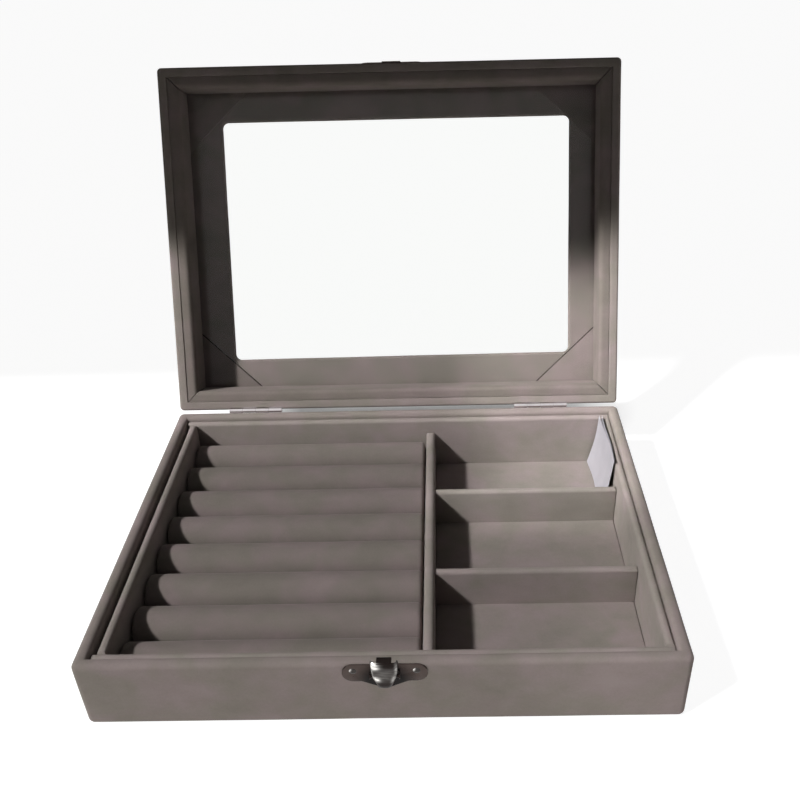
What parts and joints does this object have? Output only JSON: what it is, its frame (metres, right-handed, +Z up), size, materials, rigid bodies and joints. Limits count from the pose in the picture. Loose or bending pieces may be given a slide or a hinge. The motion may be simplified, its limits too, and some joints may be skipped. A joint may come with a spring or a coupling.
{
  "type": "ring display box",
  "caption": "Shallow velvet-covered case that holds rings between padded rolls and jewellery in open trays, under a hinged glass lid with a sprung clasp.",
  "frame": {"origin": "centre of the underside", "axes": "+X right, +Y from the clasp towards the hinges, +Z up"},
  "size_m": [0.2, 0.2317, 0.1672],
  "materials": {
    "taupe_velvet": "matte",
    "roll_velvet": "matte",
    "grey_board": "matte",
    "lining_paper": "matte",
    "white_satin": "satin",
    "clear_glass": "polished",
    "bare_steel": "satin",
    "dark_nickel": "polished"
  },
  "bodies": {
    "base": {"base_outer_walls": "taupe_velvet", "base_bottom_board": "grey_board", "underside_lining": "lining_paper", "liner_front": "taupe_velvet", "liner_back": "taupe_velvet", "liner_left": "taupe_velvet", "liner_right": "taupe_velvet", "roll_bed": "taupe_velvet", "tray_floor_pad": "taupe_velvet", "main_divider": "taupe_velvet", "cross_divider_front": "taupe_velvet", "cross_divider_rear": "taupe_velvet", "satin_label": "white_satin", "ring_roll_1": "roll_velvet", "ring_roll_2": "roll_velvet", "ring_roll_3": "roll_velvet", "ring_roll_4": "roll_velvet", "ring_roll_5": "roll_velvet", "ring_roll_6": "roll_velvet", "ring_roll_7": "roll_velvet", "ring_roll_8": "roll_velvet", "left_hinge_base_leaf": "bare_steel", "left_hinge_pin": "bare_steel", "right_hinge_base_leaf": "bare_steel", "right_hinge_pin": "bare_steel", "hinge_base_nails": "bare_steel", "clasp_plate": "dark_nickel", "clasp_pin": "dark_nickel", "clasp_spring": "bare_steel", "clasp_nails": "dark_nickel"},
    "lid": {"lid_outer_walls": "taupe_velvet", "lid_window_board": "taupe_velvet", "glass_pane": "clear_glass", "board_corner_folds": "taupe_velvet", "lid_frame_front": "taupe_velvet", "lid_frame_back": "taupe_velvet", "lid_frame_left": "taupe_velvet", "lid_frame_right": "taupe_velvet", "left_hinge_lid_leaf": "bare_steel", "right_hinge_lid_leaf": "bare_steel", "hinge_lid_nails": "bare_steel", "strike_plate": "dark_nickel", "strike_nails": "dark_nickel"},
    "clasp_lever": {"clasp_lever": "dark_nickel"}
  },
  "joints": [
    {"name": "lid_hinge", "type": "hinge", "parent": "base", "child": "lid", "pos_m": [0, 0.0752, 0.0287], "axis": [1, 0, 0], "range_deg": [0, 113]},
    {"name": "clasp_press", "type": "hinge", "parent": "base", "child": "clasp_lever", "pos_m": [0.0012, -0.0771, 0.025], "axis": [1, 0, 0], "range_deg": [0, 12], "stiffness_Nm_per_rad": 0.03, "springref_deg": -8.59, "deforming": ["clasp_spring"]}
  ]
}
